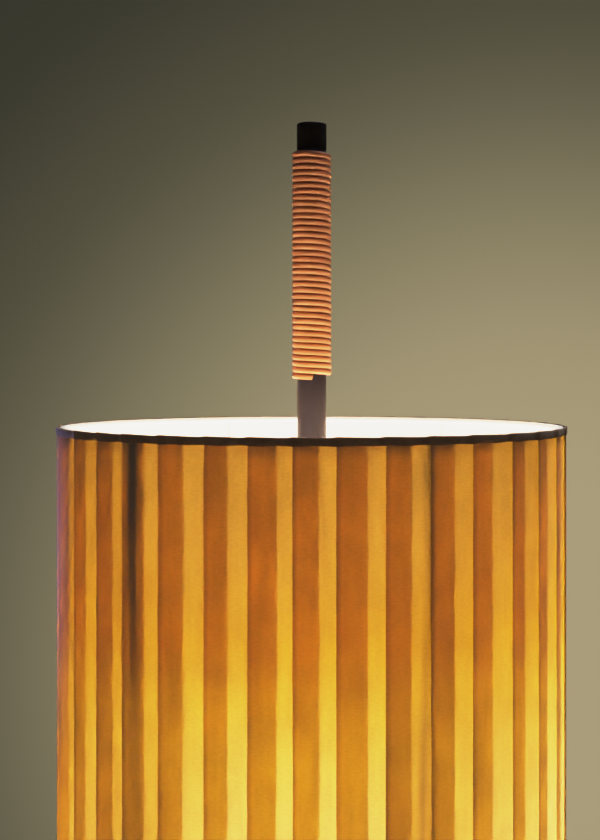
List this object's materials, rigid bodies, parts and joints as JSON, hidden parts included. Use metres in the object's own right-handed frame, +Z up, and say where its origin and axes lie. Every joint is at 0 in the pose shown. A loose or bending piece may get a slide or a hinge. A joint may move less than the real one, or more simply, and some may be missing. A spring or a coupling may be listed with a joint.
{
  "type": "floor lamp",
  "caption": "Floor lamp with a pleated drum shade that lifts off, screw bulbs on bent arms, a round weighted base, and a cane-wound grip above the shade.",
  "frame": {"origin": "on the floor, under the middle of the stem", "axes": "+Z up along the stem; the pictured side faces -Y, and +X is to its right"},
  "size_m": [0.4499, 0.45, 1.669],
  "materials": {
    "ribbon": "woven ribbon, lit from inside",
    "binding_tape": "dark woven tape",
    "felt": "felt",
    "cast_weight": "rough cast",
    "stem_paint": "satin dark bronze",
    "fastener_steel": "zinc plated",
    "gland_rubber": "matte",
    "terminal_plastic": "matte",
    "terminal_ceramic": "unglazed",
    "lead_sheath": "smooth sheath",
    "cap_black": "satin black",
    "cane": "round cane, lightly varnished",
    "contact_brass": "bright",
    "washer_nylon": "smooth",
    "frame_white": "white wire enamel",
    "holder_black": "moulded",
    "bulb_opal": "opal, lit",
    "bulb_cap_metal": "rolled thread"
  },
  "bodies": {
    "stand": {"base_pad": "felt", "base_weight": "cast_weight", "base_cover": "stem_paint", "base_socket": "stem_paint", "base_washer": "fastener_steel", "base_nut": "fastener_steel", "cord_gland": "gland_rubber", "base_terminal": "terminal_plastic", "stem_lower": "stem_paint", "stem_upper": "stem_paint", "stem_lead": "lead_sheath", "end_cap": "cap_black", "cane_winding": "cane", "grub_screws": "fastener_steel", "cluster_body": "stem_paint", "cluster_lid": "stem_paint", "cluster_screws": "fastener_steel", "cluster_terminal": "terminal_ceramic", "arm_nuts": "contact_brass", "seat_collar": "stem_paint", "arm_1": "stem_paint", "arm_lead_1": "lead_sheath", "holder_cap_1": "holder_black", "holder_skirt_1": "holder_black", "holder_insert_1": "terminal_ceramic", "holder_contacts_1": "contact_brass", "arm_2": "stem_paint", "arm_lead_2": "lead_sheath", "holder_cap_2": "holder_black", "holder_skirt_2": "holder_black", "holder_insert_2": "terminal_ceramic", "holder_contacts_2": "contact_brass", "arm_3": "stem_paint", "arm_lead_3": "lead_sheath", "holder_cap_3": "holder_black", "holder_skirt_3": "holder_black", "holder_insert_3": "terminal_ceramic", "holder_contacts_3": "contact_brass"},
    "seat_washer": {"seat_washer": "washer_nylon"},
    "shade": {"shade_pleats": "ribbon", "shade_binding_top": "binding_tape", "shade_binding_bottom": "binding_tape", "shade_top_ring": "frame_white", "shade_bottom_ring": "frame_white", "shade_spider": "frame_white", "shade_strut_1": "frame_white", "shade_strut_2": "frame_white", "shade_strut_3": "frame_white", "shade_strut_4": "frame_white", "shade_strut_5": "frame_white", "shade_strut_6": "frame_white"},
    "bulb_1_contact": {"bulb_contact_1": "contact_brass"},
    "bulb_1": {"bulb_glass_1": "bulb_opal", "bulb_cap_1": "bulb_cap_metal"},
    "bulb_2_contact": {"bulb_contact_2": "contact_brass"},
    "bulb_2": {"bulb_glass_2": "bulb_opal", "bulb_cap_2": "bulb_cap_metal"},
    "bulb_3_contact": {"bulb_contact_3": "contact_brass"},
    "bulb_3": {"bulb_glass_3": "bulb_opal", "bulb_cap_3": "bulb_cap_metal"}
  },
  "joints": [
    {"name": "shade_turn", "type": "hinge", "parent": "stand", "child": "seat_washer", "pos_m": [0, 0, 1.345], "axis": [0, 0, 1], "continuous": true},
    {"name": "shade_lift", "type": "slide", "parent": "seat_washer", "child": "shade", "axis": [0, 0, 1], "range_m": [0, 0.88]},
    {"name": "bulb_1_rise", "type": "slide", "parent": "stand", "child": "bulb_1_contact", "axis": [0, 0, 1], "range_m": [0, 0.02178]},
    {"name": "bulb_1_screw", "type": "hinge", "parent": "bulb_1_contact", "child": "bulb_1", "pos_m": [-0.02565, -0.07048, 0.974], "axis": [0, 0, 1], "range_deg": [0, 2160]},
    {"name": "bulb_2_rise", "type": "slide", "parent": "stand", "child": "bulb_2_contact", "axis": [0, 0, 1], "range_m": [0, 0.02178]},
    {"name": "bulb_2_screw", "type": "hinge", "parent": "bulb_2_contact", "child": "bulb_2", "pos_m": [0.07386, 0.01302, 0.974], "axis": [0, 0, 1], "range_deg": [0, 2160]},
    {"name": "bulb_3_rise", "type": "slide", "parent": "stand", "child": "bulb_3_contact", "axis": [0, 0, 1], "range_m": [0, 0.02178]},
    {"name": "bulb_3_screw", "type": "hinge", "parent": "bulb_3_contact", "child": "bulb_3", "pos_m": [-0.04821, 0.05745, 0.974], "axis": [0, 0, 1], "range_deg": [0, 2160]}
  ],
  "couplings": [
    {"joint": "bulb_1_rise", "follows": "bulb_1_screw", "m_per_rad": 0.00057757},
    {"joint": "bulb_2_rise", "follows": "bulb_2_screw", "m_per_rad": 0.00057757},
    {"joint": "bulb_3_rise", "follows": "bulb_3_screw", "m_per_rad": 0.00057757}
  ]
}
